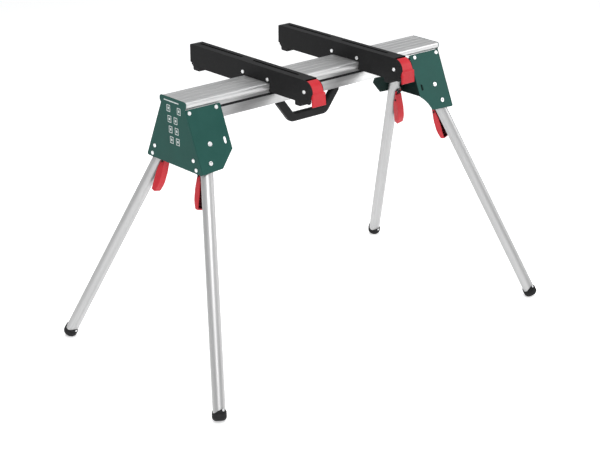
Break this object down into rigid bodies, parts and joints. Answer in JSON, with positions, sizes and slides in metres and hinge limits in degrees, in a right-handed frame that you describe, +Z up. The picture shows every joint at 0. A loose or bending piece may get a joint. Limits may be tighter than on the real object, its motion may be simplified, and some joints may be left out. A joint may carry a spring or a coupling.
{
  "type": "mitre saw stand",
  "caption": "Folding mitre saw stand: an aluminium rail on splayed locking legs, with sliding saw brackets, red clamp levers and a carry handle.",
  "frame": {"origin": "on the floor, under the middle of the rail", "axes": "+X along the rail to the right-hand end, -Y towards the clamp levers, +Z up"},
  "size_m": [1.328, 0.7738, 0.854],
  "materials": {
    "rail_aluminium": "satin, extruded",
    "leg_aluminium": "satin, anodised tube",
    "green_paint": "semi-gloss powder coat",
    "black_paint": "satin powder coat",
    "black_plastic": "fine moulded texture",
    "red_plastic": "moulded, slight sheen",
    "black_rubber": "moulded, matte",
    "bright_steel": "zinc plated"
  },
  "bodies": {
    "root": {"rail": "rail_aluminium", "end_plate_left": "green_paint", "end_plate_right": "green_paint", "side_plate_front_right": "green_paint", "side_plate_front_left": "green_paint", "side_plate_back_right": "green_paint", "side_plate_back_left": "green_paint", "plate_bolts": "bright_steel", "end_plate_rivets": "bright_steel", "pivot_bolts": "bright_steel", "lock_bushes": "bright_steel", "carry_handle": "black_plastic", "handle_screws": "bright_steel"},
    "leg_front_right": {"leg_tube_front_right": "leg_aluminium", "leg_head_front_right": "black_plastic", "hinge_pin_front_right": "bright_steel", "lever_spring_front_right": "bright_steel", "foot_front_right": "black_rubber", "foot_rivets_front_right": "bright_steel"},
    "lock_lever_front_right": {"lock_lever_front_right": "red_plastic"},
    "lock_pin_front_right": {"lock_pin_front_right": "bright_steel"},
    "leg_front_left": {"leg_tube_front_left": "leg_aluminium", "leg_head_front_left": "black_plastic", "hinge_pin_front_left": "bright_steel", "lever_spring_front_left": "bright_steel", "foot_front_left": "black_rubber", "foot_rivets_front_left": "bright_steel"},
    "lock_lever_front_left": {"lock_lever_front_left": "red_plastic"},
    "lock_pin_front_left": {"lock_pin_front_left": "bright_steel"},
    "leg_back_right": {"leg_tube_back_right": "leg_aluminium", "leg_head_back_right": "black_plastic", "hinge_pin_back_right": "bright_steel", "lever_spring_back_right": "bright_steel", "foot_back_right": "black_rubber", "foot_rivets_back_right": "bright_steel"},
    "lock_lever_back_right": {"lock_lever_back_right": "red_plastic"},
    "lock_pin_back_right": {"lock_pin_back_right": "bright_steel"},
    "leg_back_left": {"leg_tube_back_left": "leg_aluminium", "leg_head_back_left": "black_plastic", "hinge_pin_back_left": "bright_steel", "lever_spring_back_left": "bright_steel", "foot_back_left": "black_rubber", "foot_rivets_back_left": "bright_steel"},
    "lock_lever_back_left": {"lock_lever_back_left": "red_plastic"},
    "lock_pin_back_left": {"lock_pin_back_left": "bright_steel"},
    "bracket_left": {"bracket_channel_left": "black_paint", "bracket_end_cap_left": "black_plastic", "rail_hook_left": "black_paint", "bracket_foot_left": "black_plastic", "cross_bolts_left": "bright_steel"},
    "clamp_lever_left": {"clamp_lever_left": "red_plastic"},
    "clamp_jaw_left": {"clamp_jaw_left": "black_paint"},
    "bracket_right": {"bracket_channel_right": "black_paint", "bracket_end_cap_right": "black_plastic", "rail_hook_right": "black_paint", "bracket_foot_right": "black_plastic", "cross_bolts_right": "bright_steel"},
    "clamp_lever_right": {"clamp_lever_right": "red_plastic"},
    "clamp_jaw_right": {"clamp_jaw_right": "black_paint"}
  },
  "joints": [
    {"name": "leg_fold_front_right", "type": "hinge", "parent": "root", "child": "leg_front_right", "pos_m": [0.447, -0.07688, 0.68419], "axis": [0, 0.9173, -0.3981], "range_deg": [0, 102.35]},
    {"name": "lock_squeeze_front_right", "type": "hinge", "parent": "leg_front_right", "child": "lock_lever_front_right", "pos_m": [0.46888, -0.08531, 0.59944], "axis": [-0.9655, -0.1037, -0.239], "range_deg": [0, 10], "stiffness_Nm_per_rad": 2.2, "springref_deg": -10.31},
    {"name": "lock_pin_slide_front_right", "type": "slide", "parent": "leg_front_right", "child": "lock_pin_front_right", "axis": [0, 0.9173, -0.3981], "range_m": [0, 0.0048]},
    {"name": "leg_fold_front_left", "type": "hinge", "parent": "root", "child": "leg_front_left", "pos_m": [-0.447, -0.07688, 0.68419], "axis": [0, -0.9173, 0.3981], "range_deg": [0, 107.85]},
    {"name": "lock_squeeze_front_left", "type": "hinge", "parent": "leg_front_left", "child": "lock_lever_front_left", "pos_m": [-0.46888, -0.08531, 0.59944], "axis": [-0.9655, 0.1037, 0.239], "range_deg": [0, 10], "stiffness_Nm_per_rad": 2.2, "springref_deg": -10.31},
    {"name": "lock_pin_slide_front_left", "type": "slide", "parent": "leg_front_left", "child": "lock_pin_front_left", "axis": [0, 0.9173, -0.3981], "range_m": [0, 0.0048]},
    {"name": "leg_fold_back_right", "type": "hinge", "parent": "root", "child": "leg_back_right", "pos_m": [0.447, 0.07688, 0.68419], "axis": [0, 0.9173, 0.3981], "range_deg": [0, 102.35]},
    {"name": "lock_squeeze_back_right", "type": "hinge", "parent": "leg_back_right", "child": "lock_lever_back_right", "pos_m": [0.46888, 0.08531, 0.59944], "axis": [0.9655, -0.1037, 0.239], "range_deg": [0, 10], "stiffness_Nm_per_rad": 2.2, "springref_deg": -10.31},
    {"name": "lock_pin_slide_back_right", "type": "slide", "parent": "leg_back_right", "child": "lock_pin_back_right", "axis": [0, -0.9173, -0.3981], "range_m": [0, 0.0048]},
    {"name": "leg_fold_back_left", "type": "hinge", "parent": "root", "child": "leg_back_left", "pos_m": [-0.447, 0.07688, 0.68419], "axis": [0, -0.9173, -0.3981], "range_deg": [0, 107.85]},
    {"name": "lock_squeeze_back_left", "type": "hinge", "parent": "leg_back_left", "child": "lock_lever_back_left", "pos_m": [-0.46888, 0.08531, 0.59944], "axis": [0.9655, 0.1037, -0.239], "range_deg": [0, 10], "stiffness_Nm_per_rad": 2.2, "springref_deg": -10.31},
    {"name": "lock_pin_slide_back_left", "type": "slide", "parent": "leg_back_left", "child": "lock_pin_back_left", "axis": [0, -0.9173, -0.3981], "range_m": [0, 0.0048]},
    {"name": "bracket_slide_left", "type": "slide", "parent": "root", "child": "bracket_left", "axis": [1, 0, 0], "range_m": [-0.1685, 0.1455]},
    {"name": "clamp_lever_left", "type": "hinge", "parent": "bracket_left", "child": "clamp_lever_left", "pos_m": [-0.1755, -0.213, 0.8205], "axis": [-1, 0, 0], "range_deg": [0, 75]},
    {"name": "clamp_jaw_slide_left", "type": "slide", "parent": "bracket_left", "child": "clamp_jaw_left", "axis": [0, -1, 0], "range_m": [0, 0.005]},
    {"name": "bracket_slide_right", "type": "slide", "parent": "root", "child": "bracket_right", "axis": [1, 0, 0], "range_m": [-0.1455, 0.1685]},
    {"name": "clamp_lever_right", "type": "hinge", "parent": "bracket_right", "child": "clamp_lever_right", "pos_m": [0.1755, -0.213, 0.8205], "axis": [-1, 0, 0], "range_deg": [0, 75]},
    {"name": "clamp_jaw_slide_right", "type": "slide", "parent": "bracket_right", "child": "clamp_jaw_right", "axis": [0, -1, 0], "range_m": [0, 0.005]}
  ],
  "couplings": [
    {"joint": "lock_pin_slide_front_right", "follows": "lock_squeeze_front_right", "m_per_rad": 0.027502},
    {"joint": "lock_pin_slide_front_left", "follows": "lock_squeeze_front_left", "m_per_rad": 0.027502},
    {"joint": "lock_pin_slide_back_right", "follows": "lock_squeeze_back_right", "m_per_rad": 0.027502},
    {"joint": "lock_pin_slide_back_left", "follows": "lock_squeeze_back_left", "m_per_rad": 0.027502},
    {"joint": "clamp_jaw_slide_left", "follows": "clamp_lever_left", "m_per_rad": 0.0038196},
    {"joint": "clamp_jaw_slide_right", "follows": "clamp_lever_right", "m_per_rad": 0.0038196}
  ]
}
